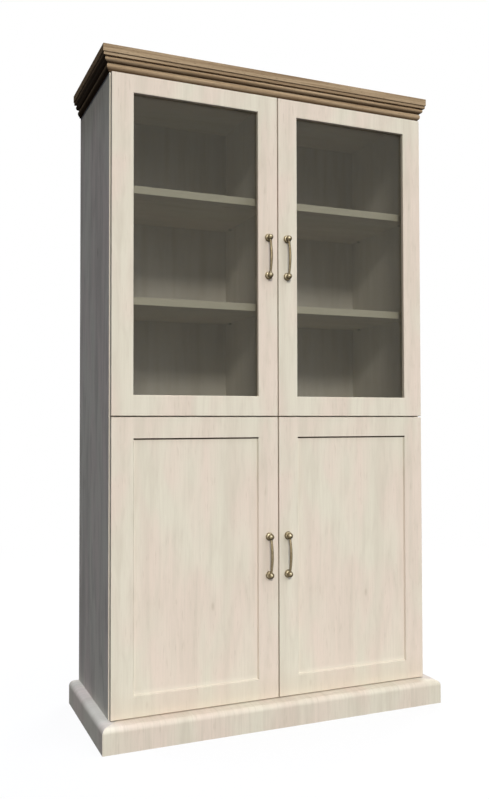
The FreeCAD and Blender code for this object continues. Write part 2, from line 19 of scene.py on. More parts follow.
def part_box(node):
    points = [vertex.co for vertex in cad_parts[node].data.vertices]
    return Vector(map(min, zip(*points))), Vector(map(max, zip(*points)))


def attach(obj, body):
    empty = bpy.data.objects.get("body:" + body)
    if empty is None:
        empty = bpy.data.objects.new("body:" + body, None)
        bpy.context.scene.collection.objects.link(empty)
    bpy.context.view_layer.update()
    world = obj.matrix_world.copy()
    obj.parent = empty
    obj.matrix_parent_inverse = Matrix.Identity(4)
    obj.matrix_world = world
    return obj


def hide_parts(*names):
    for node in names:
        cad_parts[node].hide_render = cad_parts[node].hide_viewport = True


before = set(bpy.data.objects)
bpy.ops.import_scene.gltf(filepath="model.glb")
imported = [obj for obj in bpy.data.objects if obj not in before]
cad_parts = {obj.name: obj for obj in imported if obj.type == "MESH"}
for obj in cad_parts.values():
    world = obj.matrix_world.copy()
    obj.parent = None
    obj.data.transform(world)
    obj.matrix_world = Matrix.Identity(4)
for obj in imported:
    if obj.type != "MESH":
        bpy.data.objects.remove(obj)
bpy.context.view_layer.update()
LOG = logging.getLogger("bookcase")

RGB = Triple = tuple[float, float, float]
Range = tuple[float, float]
Socket = bpy.types.NodeSocket

MM = 0.001
ORIGIN: Triple = (0.0, 0.0, 0.0)
UNIT: Triple = (1.0, 1.0, 1.0)
FULL: Range = (0.0, 1.0)
# Mesh attribute of rubbing and painted light on the handles.
WEAR_AND_LIGHT = "wear"


def tone(*screen: int) -> RGB:
    """Turns a screen colour into the linear colour that shaders use, by the sRGB curve.

    Args:
        *screen: Red, green and blue, from 0 to 255.

    Returns:
        The three linear values, from 0 to 1.
    """
    shown = np.array(screen) / 255.0
    linear = np.where(shown <= 0.04045, shown / 12.92, ((shown + 0.055) / 1.055) ** 2.4)
    return tuple(float(v) for v in linear)


class Grain(Enum):
    """Which way the marks of a surface run. A value is 1 on each axis that crosses the marks."""

    UP_THE_FRONT = (1, 0, 0)
    UP_THE_SIDE = (0, 1, 0)
    UPRIGHT = (1, 1, 0)
    ALONG_THE_WIDTH = (0, 1, 1)
    ALONG_THE_DEPTH = (1, 0, 1)

    def stretch(self, width: float, length: float) -> Triple:
        """Gives the pattern scale for marks of a width across the grain and a length along it."""
        return tuple(1 / width if across else 1 / length for across in self.value)


class Side(Enum):
    """The two hands of a door, seen from the front."""

    LEFT = "left"
    RIGHT = "right"


class Storey(Enum):
    """The two rows of doors."""

    UPPER = "upper"
    LOWER = "lower"


class Nodes:
    """The node tree of a material or a world, with short ways to add and join its nodes."""

    def __init__(self, owner: bpy.types.ID) -> None:
        """Empties the node tree of its owner.

        Args:
            owner: The material or world.
        """
        owner.use_nodes = True
        self.tree = owner.node_tree
        self.tree.nodes.clear()

    def add(self, kind: str, inputs: Optional[dict] = None, **settings: object) -> bpy.types.Node:
        """Adds one node.

        Args:
            kind: Name of the node type.
            inputs: Values or outputs for the node's inputs, by name or number.
            **settings: Properties of the node.

        Returns:
            The new node.
        """
        node = self.tree.nodes.new(kind)
        for key, value in settings.items():
            setattr(node, key, value)
        for key, value in (inputs or {}).items():
            self.feed(node.inputs[key], value)
        return node

    def feed(self, target: Socket, value: object) -> None:
        """Links an output to an input, or sets a plain value on it.

        Args:
            target: The input.
            value: An output, a number, a point or a colour.
        """
        if isinstance(value, Socket):
            self.tree.links.new(value, target)
        elif isinstance(value, tuple) and len(target.default_value) == 4:
            target.default_value = (*value, 1.0)
        else:
            target.default_value = value

    def place(self, scale: Triple = UNIT, shift: Triple = ORIGIN) -> Socket:
        """Gives the object's own coordinates, shifted and then stretched.

        Args:
            scale: Stretch on X, Y and Z.
            shift: Point of the object that becomes the pattern's middle.

        Returns:
            The vector output.
        """
        own = self.add("ShaderNodeTexCoord").outputs["Object"]
        start = tuple(-m * s for m, s in zip(shift, scale))
        mapping = self.add("ShaderNodeMapping", {"Vector": own, "Location": start, "Scale": scale})
        return mapping.outputs["Vector"]

    def split(self, vector: Socket) -> bpy.types.Node:
        """Adds a node that has the parts of a vector as its outputs X, Y and Z."""
        return self.add("ShaderNodeSeparateXYZ", {"Vector": vector})

    def spread(self, value: Socket, source: Range, target: Range = FULL) -> Socket:
        """Maps a range of values smoothly onto another one.

        Args:
            value: The values to map.
            source: The two values that become the ends of the target.
            target: The two ends of the result.

        Returns:
            The mapped values, held inside the target.
        """
        names = ("Value", "From Min", "From Max", "To Min", "To Max")
        inputs = dict(zip(names, (value, *source, *target)))
        return self.add("ShaderNodeMapRange", inputs, interpolation_type="SMOOTHSTEP").outputs["Result"]

    def reckon(self, operation: str, first: object, second: object) -> Socket:
        """Joins two numbers by a rule of arithmetic, and holds the result from 0 to 1."""
        node = self.add("ShaderNodeMath", {0: first, 1: second}, operation=operation, use_clamp=True)
        return node.outputs["Value"]

    def blend(self, share: object, first: object, second: object) -> Socket:
        """Mixes two colours.

        Args:
            share: Share of the second colour.
            first: Colour or output at share 0.
            second: Colour or output at share 1.

        Returns:
            The mixed colour.
        """
        node = self.add("ShaderNodeMix", {"Factor": share}, data_type="RGBA")
        ends = (s for s in node.inputs if s.type == "RGBA")
        for end, colour in zip(ends, (first, second)):
            self.feed(end, colour)
        return next(s for s in node.outputs if s.type == "RGBA")


class Recipe(Nodes):
    """A material with a principled shader."""

    def __init__(self, name: str) -> None:
        """Starts the material.

        Args:
            name: Name of the material.
        """
        self.material = bpy.data.materials.new(name)
        super().__init__(self.material)
        self.shader = self.add("ShaderNodeBsdfPrincipled")
        self.output = self.add("ShaderNodeOutputMaterial", {"Surface": self.shader.outputs["BSDF"]})

    def emboss(self, height: Socket, depth: float, strength: float) -> None:
        """Raises the surface by a height from 0 to 1, times a depth in metres and a strength."""
        bump = self.add("ShaderNodeBump", {"Height": height, "Distance": depth, "Strength": strength})
        self.set(Normal=bump.outputs["Normal"])

    def set(self, **values: object) -> None:
        """Sets inputs of the shader; a name's underscores stand for spaces."""
        for name, value in values.items():
            self.feed(self.shader.inputs[name.replace("_", " ")], value)


@dataclass(frozen=True)
class Layer:
    """One layer of marks: a noise that is drawn out along the grain.

    Width and length are metres. Octaves add finer marks, and bend lets them wind. The layer starts to
    show at one value of the noise and shows fully at another.
    """

    width: float
    length: float
    octaves: float
    bend: float
    start: float
    full: float

    def noise(self, recipe: Recipe, grain: Grain = Grain.UPRIGHT, shift: Triple = ORIGIN) -> Socket:
        """Adds the layer's noise to a material, along a grain and about a middle."""
        place = recipe.place(grain.stretch(self.width, self.length), shift)
        inputs = {"Vector": place, "Scale": 1.0, "Detail": self.octaves, "Distortion": self.bend}
        return recipe.add("ShaderNodeTexNoise", inputs).outputs["Fac"]

    def share(self, recipe: Recipe, noise: Socket, shares: Range = FULL) -> Socket:
        """Gives how much of the layer shows over its noise, as the shares at its start and in full."""
        return recipe.spread(noise, (self.start, self.full), shares)


@dataclass(frozen=True)
class Wash:
    """A tone that is laid over a print, and its share."""

    colour: RGB
    share: float


# Painted shade: a dark wash laid in creases and where parts meet, where shade falls.
PAINTED_SHADE = Wash(tone(60, 45, 33), 0.97)


@dataclass(frozen=True)
class Trim:
    """A box whose surface carries a wash, as painted shade or a painted highlight in a crease, or a band
    on an edge, with soft ends outside it.
    """

    FINE = (0.2 * MM,) * 3
    SOFT = (0.4 * MM,) * 3

    low: Triple
    high: Triple
    wash: Wash = PAINTED_SHADE
    fade: Triple = SOFT

    @classmethod
    def slab(cls, axis: str, at: float, reach: Range, box: Sequence[Vector], wash: Wash) -> "Trim":
        """Gives a thin slab across a box, as for one of its faces.

        Args:
            axis: Letter of the axis across the slab.
            at: Place of the face on that axis.
            reach: How far the slab goes before and behind the face.
            box: The box's two corners.
            wash: The wash.

        Returns:
            The slab, with fine ends.
        """
        low, high = (list(corner) for corner in box)
        place = "XYZ".index(axis)
        low[place], high[place] = at - reach[0], at + reach[1]
        return cls(tuple(low), tuple(high), wash, cls.FINE)

    def mask(self, recipe: Recipe) -> Socket:
        """Gives the wash's share: full inside the box, 0 outside it, with soft ends on each axis.

        Args:
            recipe: The material.

        Returns:
            The share from 0 to 1.
        """
        place = recipe.split(recipe.place())
        shade = self.wash.share
        for axis, start, end, soft in zip("XYZ", self.low, self.high, self.fade):
            begun = recipe.spread(place.outputs[axis], (start - soft, start))
            ended = recipe.spread(place.outputs[axis], (end, end + soft), (1.0, 0.0))
            shade = recipe.reckon("MULTIPLY", recipe.reckon("MULTIPLY", begun, ended), shade)
        return shade

    def over(self, recipe: Recipe, ground: Socket) -> Socket:
        """Gives a material's colour with the wash laid over it."""
        return recipe.blend(self.mask(recipe), ground, self.wash.colour)


@dataclass(frozen=True)
class MouldingShade:
    """Painted shade in a moulding, darker below each bead: pairs of height above its foot and share of
    shade.
    """

    foot: float
    steps: tuple[Range, ...]
    colour: RGB = tone(58, 43, 31)

    def share(self, recipe: Recipe) -> Socket:
        """Gives the painted shade's share at each height, on straight lines between the steps.

        Args:
            recipe: The material.

        Returns:
            The share from 0 to 1.
        """
        top = self.steps[-1][0]
        place = recipe.split(recipe.place((1.0, 1.0, 1.0 / top), (0.0, 0.0, self.foot)))
        ramp = recipe.add("ShaderNodeValToRGB", {"Fac": place.outputs["Z"]})
        stops = ramp.color_ramp.elements
        while len(stops) < len(self.steps):
            stops.new(0.5)
        for stop, (height, share) in zip(stops, self.steps):
            stop.position, stop.color = height / top, (share, share, share, 1.0)
        return ramp.outputs["Color"]


class Finish:
    """A finish that is made once and then shared by all pieces that carry it.

    Its relief is a depth in metres and a strength. Three ranges hold most values of a noise.
    """

    name: str
    MOST = (0.30, 0.70)
    WIDE = (0.25, 0.75)
    WIDEST = (0.20, 0.80)

    @cache
    def material(self) -> bpy.types.Material:
        """Returns the finish's material, made on first use."""
        recipe = Recipe(self.name)
        self.mix(recipe)
        return recipe.material

    def mix(self, recipe: Recipe) -> None:
        """Adds the finish's nodes to its material."""
        raise NotImplementedError


@dataclass(frozen=True)
class PineTones:
    """The pale print's tones: two for its ground, one for its streaks, one for its knots."""

    cream: RGB = tone(227, 220, 203)
    blush: RGB = tone(230, 214, 200)
    beige: RGB = tone(205, 194, 177)
    knot: RGB = tone(186, 170, 150)

    def shaded(self, shade: float) -> Iterable[RGB]:
        """Gives the four tones in their order, each times a shade."""
        return (tuple(shade * value for value in colour) for colour in astuple(self))


@dataclass(frozen=True)
class PineFoil(Finish):
    """Pale bleached pine print: cream and blush boards, soft beige streaks, fine raised fibres."""

    name: str
    grain: Grain
    shift: Triple = ORIGIN
    tones: PineTones = PineTones()
    shade: float = 1.0
    gloss: float = 0.16
    smear_share: float = 0.40
    band_share: float = 0.30
    line_share: float = 0.16
    fibre_share: float = 0.13
    trims: tuple[Trim, ...] = ()
    patches: Layer = Layer(0.15, 0.42, 2.0, 0.4, 0.38, 0.62)
    smears: Layer = Layer(0.028, 0.17, 3.0, 0.5, 0.42, 0.78)
    bands: Layer = Layer(0.070, 0.80, 2.0, 0.2, 0.46, 0.72)
    lines: Layer = Layer(0.0056, 0.20, 1.0, 0.2, 0.42, 0.72)
    fibres: Layer = Layer(0.0021, 0.06, 2.0, 0.3, 0.34, 0.72)
    dashes: Layer = Layer(0.0062, 0.048, 1.0, 0.0, 0.60, 0.76)
    dashed_patches: Range = (0.40, 0.60)
    dash_shares: Range = (0.06, 0.26)
    knot_cell: Range = (0.11, 0.27)
    knot_edge: Range = (0.025, 0.085)
    knot_shares: Range = (0.6, 0.0)
    roughness: Range = (0.52, 0.66)
    relief_shares: Range = (0.55, 1.0)
    relief: Range = (0.16 * MM, 0.25)

    def mix(self, recipe: Recipe) -> None:
        """Mixes the material: patches of tint, then streaks, dashes and knots, then fine fibres.

        Args:
            recipe: The material.
        """
        cream, blush, beige, knot = self.tones.shaded(self.shade)
        patches, smears, bands, lines, fibres, dashes = (
            layer.noise(recipe, self.grain, self.shift)
            for layer in (self.patches, self.smears, self.bands, self.lines, self.fibres, self.dashes))
        ground = recipe.blend(self.patches.share(recipe, patches), cream, blush)
        for layer, noise, share in ((self.smears, smears, self.smear_share),
                                    (self.bands, bands, self.band_share),
                                    (self.lines, lines, self.line_share)):
            ground = recipe.blend(layer.share(recipe, noise, (0.0, share)), ground, beige)
        marks = recipe.reckon("MULTIPLY", self.dashes.share(recipe, dashes),
                              recipe.spread(patches, self.dashed_patches, self.dash_shares))
        ground = recipe.blend(marks, ground, knot)
        place = recipe.place(self.grain.stretch(*self.knot_cell), self.shift)
        cells = recipe.add("ShaderNodeTexVoronoi", {"Vector": place, "Scale": 1.0})
        knots = recipe.spread(cells.outputs["Distance"], self.knot_edge, self.knot_shares)
        ground = recipe.blend(knots, ground, knot)
        ground = recipe.blend(self.fibres.share(recipe, fibres, (0.0, self.fibre_share)), ground, beige)
        for trim in self.trims:
            ground = trim.over(recipe, ground)
        recipe.set(Base_Color=ground, Specular_IOR_Level=self.gloss,
                   Roughness=recipe.spread(fibres, self.MOST, self.roughness))
        height = recipe.reckon("MULTIPLY", recipe.spread(fibres, self.WIDE),
                               recipe.spread(smears, self.WIDEST, self.relief_shares))
        recipe.emboss(height, *self.relief)


@dataclass(frozen=True)
class BrownOak(Finish):
    """Mid brown oak print with fine level grain and dark pores, and painted shade below the beads where
    it is a moulding.
    """

    name: str
    grain: Grain
    shift: Triple = ORIGIN
    light: RGB = tone(181, 158, 129)
    dark: RGB = tone(145, 121, 94)
    pore: RGB = tone(92, 72, 54)
    bead_shade: Optional[MouldingShade] = None
    trims: tuple[Trim, ...] = ()
    bands: Layer = Layer(0.012, 0.6, 2.0, 0.4, 0.34, 0.68)
    lines: Layer = Layer(0.0022, 0.11, 3.0, 0.0, 0.46, 0.70)
    pores: Layer = Layer(0.0011, 0.014, 1.0, 0.0, 0.60, 0.74)
    line_share: float = 0.5
    pore_share: float = 0.55
    gloss: float = 0.0
    roughness: Range = (0.56, 0.72)
    relief: Range = (0.2 * MM, 0.4)

    def mix(self, recipe: Recipe) -> None:
        """Mixes the material: slow bands of tone, year lines, short pores, then painted shade and trims.

        Args:
            recipe: The material.
        """
        bands, lines, pores = (layer.noise(recipe, self.grain, self.shift)
                               for layer in (self.bands, self.lines, self.pores))
        ground = recipe.blend(self.bands.share(recipe, bands), self.light, self.dark)
        ground = recipe.blend(self.lines.share(recipe, lines, (0.0, self.line_share)), ground, self.dark)
        pits = self.pores.share(recipe, pores)
        ground = recipe.blend(recipe.reckon("MULTIPLY", pits, self.pore_share), ground, self.pore)
        # Painted shade: the moulding is darkened below each bead, where shade falls.
        if self.bead_shade:
            ground = recipe.blend(self.bead_shade.share(recipe), ground, self.bead_shade.colour)
        for trim in self.trims:
            ground = trim.over(recipe, ground)
        recipe.set(Base_Color=ground, Specular_IOR_Level=self.gloss,
                   Roughness=recipe.spread(lines, self.MOST, self.roughness))
        height = recipe.reckon("SUBTRACT", recipe.spread(lines, self.WIDEST), pits)
        recipe.emboss(height, *self.relief)


@dataclass(frozen=True)
class BackBoard(Finish):
    """Thin fibreboard: the pale print on its inner face, bare pressed fibre on its outer face."""

    name: str
    outer_from: float
    cream: RGB = tone(221, 215, 202)
    beige: RGB = tone(210, 203, 189)
    fibre: RGB = tone(164, 136, 106)
    fleck: RGB = tone(128, 101, 76)
    streaks: Layer = Layer(0.034, 0.42, 3.0, 0.4, 0.36, 0.76)
    felt: Layer = Layer(1 / 420, 1 / 300, 4.0, 0.6, 0.40, 0.72)
    mottle: Layer = Layer(1 / 9, 1 / 7, 3.0, 0.0, 0.35, 0.75)
    mottle_share: float = 0.35
    change: float = 0.4 * MM
    gloss: float = 0.2
    roughness: Range = (0.62, 0.80)
    relief: Range = (0.15 * MM, 0.3)

    def mix(self, recipe: Recipe) -> None:
        """Mixes the material: upright streaks inside, felted flecks outside.

        Args:
            recipe: The material.
        """
        streaks = self.streaks.noise(recipe, Grain.UP_THE_FRONT)
        felt = self.felt.noise(recipe)
        inner = recipe.blend(self.streaks.share(recipe, streaks), self.cream, self.beige)
        outer = recipe.blend(self.felt.share(recipe, felt), self.fibre, self.fleck)
        stained = self.mottle.share(recipe, self.mottle.noise(recipe), (0.0, self.mottle_share))
        outer = recipe.blend(stained, outer, self.fleck)
        depth = recipe.split(recipe.place()).outputs["Y"]
        outside = recipe.spread(depth, (self.outer_from, self.outer_from + self.change))
        recipe.set(Base_Color=recipe.blend(outside, inner, outer), Specular_IOR_Level=self.gloss,
                   Roughness=recipe.spread(felt, self.MOST, self.roughness))
        recipe.emboss(recipe.spread(felt, self.WIDE), *self.relief)


@dataclass(frozen=True)
class TintedGlass(Finish):
    """Grey bronze pane with faint wiping marks."""

    name: str
    tint: RGB = tone(63, 62, 53)
    bloom: RGB = tone(71, 70, 61)
    cover: float = 0.28
    refraction: float = 1.6
    wiping: Layer = Layer(1 / 6, 1 / 2.5, 3.0, 1.2, 0.40, 0.70)
    roughness: Range = (0.02, 0.07)

    def mix(self, recipe: Recipe) -> None:
        """Mixes the material: an even cover, and a little haze where the cloth went.

        Args:
            recipe: The material.
        """
        wiping = self.wiping.noise(recipe)
        recipe.set(Base_Color=recipe.blend(self.wiping.share(recipe, wiping), self.tint, self.bloom),
                   Roughness=recipe.spread(wiping, self.MOST, self.roughness), IOR=self.refraction,
                   Alpha=self.cover)


@dataclass(frozen=True)
class AgedBrass(Finish):
    """Old brass, rubbed bright where a hand touches it and dark in its hollows, with painted light that
    lightens its top and darkens its right side.
    """

    name: str
    rubbed: RGB = tone(200, 189, 162)
    worn: RGB = tone(128, 115, 90)
    patina: RGB = tone(42, 36, 25)
    blotches: Layer = Layer(1 / 130, 1 / 130, 3.0, 0.5, 0.32, 0.60)
    blotch_shares: Range = (0.6, 1.0)
    specks: Layer = Layer(1 / 900, 1 / 900, 2.0, 0.0, 0.25, 0.50)
    speck_shares: Range = (0.7, 1.0)
    worn_from: Range = (0.05, 0.45)
    rubbed_from: Range = (0.50, 0.95)
    roughness: Range = (0.54, 0.46)
    relief: Range = (0.06 * MM, 0.3)

    def mix(self, recipe: Recipe) -> None:
        """Mixes the material: the mesh's rubbing and painted light, broken up by two sizes of blotch.

        Args:
            recipe: The material.
        """
        broken = recipe.add("ShaderNodeAttribute", attribute_name=WEAR_AND_LIGHT).outputs["Fac"]
        blotches, specks = (layer.noise(recipe) for layer in (self.blotches, self.specks))
        for layer, noise, shares in ((self.blotches, blotches, self.blotch_shares),
                                     (self.specks, specks, self.speck_shares)):
            broken = recipe.reckon("MULTIPLY", broken, layer.share(recipe, noise, shares))
        metal = recipe.blend(recipe.spread(broken, self.worn_from), self.patina, self.worn)
        metal = recipe.blend(recipe.spread(broken, self.rubbed_from), metal, self.rubbed)
        recipe.set(Base_Color=metal, Metallic=1.0, Roughness=recipe.spread(broken, FULL, self.roughness))
        recipe.emboss(recipe.spread(specks, self.MOST), *self.relief)


@dataclass(frozen=True)
class Skinned(Finish):
    """Two tones that flow into each other under a fine skin, as of plating, plastic or bare wood."""

    name: str
    light: RGB
    dark: RGB
    flow: Layer
    skin: Layer
    roughness: Range
    relief: Range
    metal: float = 0.0
    grain: Grain = Grain.UPRIGHT

    def mix(self, recipe: Recipe) -> None:
        """Mixes the material: the two tones, and a skin that is rough and raised by turns.

        Args:
            recipe: The material.
        """
        flow, skin = (layer.noise(recipe, self.grain) for layer in (self.flow, self.skin))
        recipe.set(Base_Color=recipe.blend(self.flow.share(recipe, flow), self.light, self.dark),
                   Metallic=self.metal, Roughness=self.skin.share(recipe, skin, self.roughness))
        recipe.emboss(skin, *self.relief)


# Painted shade: the sides' print is a greyer, darker copy of the doors' print.
PINE_SIDE_SHADED = PineTones(tone(219, 216, 208), tone(221, 212, 207), tone(181, 177, 171), tone(160, 153, 145))
PINE_LEVEL = PineTones(tone(219, 213, 194), tone(221, 210, 193), tone(198, 189, 170))
# Painted shade: the plinth sides' print is a darker copy.
PINE_PLINTH_SIDE_SHADED = PineTones(tone(223, 219, 207), tone(225, 214, 205), tone(196, 189, 178))
HAZE = Layer(1 / 60, 1 / 60, 2.0, 0.0, 0.35, 0.70)
BRUSHED = Layer(1 / 900, 1 / 300, 3.0, 0.0, *Finish.MOST)
TUMBLED = Layer(1 / 1200, 1 / 1200, 3.0, 0.0, *Finish.MOST)
NICKEL = Skinned("nickel_plate", tone(206, 202, 194), tone(176, 172, 164), HAZE, BRUSHED, (0.22, 0.38),
                 (0.03 * MM, 0.25), metal=1.0)
ZINC = Skinned("zinc_plate", tone(196, 196, 190), tone(160, 158, 148), HAZE, TUMBLED, (0.30, 0.48),
               (0.03 * MM, 0.25), metal=1.0)
MOULD_FLOW = Layer(1 / 90, 1 / 50, 1.0, 0.0, 0.35, 0.65)
MOULD_SKIN = Layer(1 / 1800, 1 / 1800, 2.0, 0.0, *Finish.MOST)
CLIP_PLASTIC = Skinned("pale_clip_plastic", tone(212, 210, 203), tone(198, 196, 189), MOULD_FLOW,
                       MOULD_SKIN, (0.30, 0.45), (0.05 * MM, 0.3))
BUMPER_RUBBER = Skinned("soft_bumper_rubber", tone(168, 165, 156), tone(150, 147, 138), MOULD_FLOW,
                        MOULD_SKIN, (0.45, 0.62), (0.05 * MM, 0.3))
RAY_FLECKS = Layer(1 / 700, 1 / 260, 2.0, 0.0, 0.50, 0.72)
WOOD_SKIN = Layer(1 / 700, 1 / 260, 2.0, 0.0, *Finish.MOST)
BEECH = Skinned("bare_beech", tone(214, 178, 138), tone(170, 125, 88), RAY_FLECKS, WOOD_SKIN,
                (0.55, 0.70), (0.08 * MM, 0.3), grain=Grain.ALONG_THE_WIDTH)
BRASS = AgedBrass("aged_brass")
GLASS = TintedGlass("tinted_glass")


def dress(finish: Finish, *nodes: str) -> None:
    """Puts a finish on nodes of the frame.

    Args:
        finish: The finish.
        *nodes: Names of the nodes.
    """
    for name in nodes:
        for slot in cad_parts[name].material_slots:
            slot.material = finish.material()
        LOG.info("%s has the finish %s", name, finish.name)


def stand(name: str, data: bpy.types.ID) -> bpy.types.Object:
    """Makes an object of a mesh, a lamp or a camera and puts it into the scene.

    Args:
        name: Name of the object.
        data: What it shows.

    Returns:
        The object, at the origin.
    """
    holder = bpy.data.objects.new(name, data)
    bpy.context.scene.collection.objects.link(holder)
    return holder


@dataclass
class Shell:
    """A closed skin of points and faces, with a value of rubbing and painted light from 0 to 1 at each
    point.
    """

    points: np.ndarray
    faces: np.ndarray
    wear: np.ndarray

    @classmethod
    def tube(cls, rings: np.ndarray, wear: np.ndarray, ends: np.ndarray) -> "Shell":
        """Closes a stack of rings into a skin.

        Points of neighbouring rings are joined by two triangles each, round the ring. The first and
        the last ring are each joined to one end point. The faces are turned over where the signed
        volume, the sum of a·(b×c)/6, is negative.

        Args:
            rings: Points of shape (rings, points round a ring, 3).
            wear: Rubbing and painted light of shape (rings, points round a ring).
            ends: The two end points.

        Returns:
            The skin, with its faces outwards.
        """
        rows, around = rings.shape[:2]
        row = np.arange(rows - 1)[:, None] * around
        here = np.arange(around)[None, :]
        onward = (here + 1) % around
        a, b, c, d = row + here, row + onward, row + around + onward, row + around + here
        walls = [np.stack(three, -1).reshape(-1, 3) for three in ((a, b, c), (a, c, d))]
        first, last = rows * around, rows * around + 1
        rim = (rows - 1) * around
        caps = [np.stack([np.full(around, first), onward[0], here[0]], -1),
                np.stack([np.full(around, last), rim + here[0], rim + onward[0]], -1)]
        points = np.concatenate([rings.reshape(-1, 3), ends])
        shade = np.concatenate([wear.reshape(-1), wear[[0, -1]].mean(1)])
        faces = np.concatenate(walls + caps)
        order = -1 if np.linalg.det(points[faces] - points.mean(0)).sum() < 0 else 1
        return cls(points, faces[:, ::order], shade)

    @staticmethod
    def gather(shells: Sequence["Shell"]) -> "Shell":
        """Puts several skins into one.

        Args:
            shells: The skins.

        Returns:
            One skin with all of them.
        """
        starts = np.cumsum([0] + [len(s.points) for s in shells[:-1]])
        return Shell(np.concatenate([s.points for s in shells]),
                     np.concatenate([s.faces + n for s, n in zip(shells, starts)]),
                     np.concatenate([s.wear for s in shells]))

    def build(self, name: str, finish: Finish) -> bpy.types.Object:
        """Makes a smooth mesh object at the origin, with the rubbing and painted light as an attribute.

        Args:
            name: Name of the piece.
            finish: Finish of the piece.

        Returns:
            The object.
        """
        mesh = bpy.data.meshes.new(name)
        mesh.from_pydata(self.points.tolist(), [], self.faces.tolist())
        mesh.polygons.foreach_set("use_smooth", np.ones(len(self.faces), bool))
        layer = mesh.attributes.new(WEAR_AND_LIGHT, "FLOAT", "POINT")
        layer.data.foreach_set("value", self.wear.astype(np.float32))
        mesh.materials.append(finish.material())
        mesh.update()
        return stand(name, mesh)


def eased(points: Sequence[Range], steps: int) -> np.ndarray:
    """Carries a smooth line through the points of a profile.

    Each stretch is the cubic through its two ends whose slope at an end is half the step between the
    neighbours there; the end points are repeated as their own neighbours.

    Args:
        points: The profile's points.
        steps: Number of samples on each stretch.

    Returns:
        The samples, of shape (count, 2).
    """
    knots = np.array([points[0], *points, points[-1]], float)
    before, start, end, after = (knots[k:len(knots) - 3 + k][:, None] for k in range(4))
    t = np.linspace(0.0, 1.0, steps, endpoint=False)[None, :, None]
    line = 0.5 * (2 * start + (end - before) * t + (2 * before - 5 * start + 4 * end - after) * t ** 2
                  + (3 * start - before - 3 * end + after) * t ** 3)
    return np.concatenate([line.reshape(-1, 2), knots[-1:]])


def bell(place: np.ndarray, peak: float, width: float) -> np.ndarray:
    """Gives the bell curve exp(−((place − peak) / width)²)."""
    return np.exp(-((place - peak) / width) ** 2)


@dataclass(frozen=True)
class HandleWearAndLight:
    """How far a handle is rubbed, from 0 to 1, and what its details add to that, with painted light that
    makes it lighter upwards and darker to the right.
    """

    # Painted light: top makes the handle lighter upwards, side makes it darker to the right.
    top: float = 0.30
    side: float = 0.16
    rosette: float = 0.38
    rim: float = 0.30
    rim_radii: Range = (11.0, 13.8)
    crest: float = 22.0
    crest_limits: Range = (-0.3, 0.5)
    ball_ends: Range = (-0.1825, 0.7675)
    ball_least: float = 0.05
    bow: float = 0.33
    bow_outer: float = 0.26
    # Painted shade: the bow darkens to the right.
    bow_right_shade: float = 0.20
    ring: float = 0.25
    neck: float = -0.50
    neck_spot: Range = (0.858, 0.016)


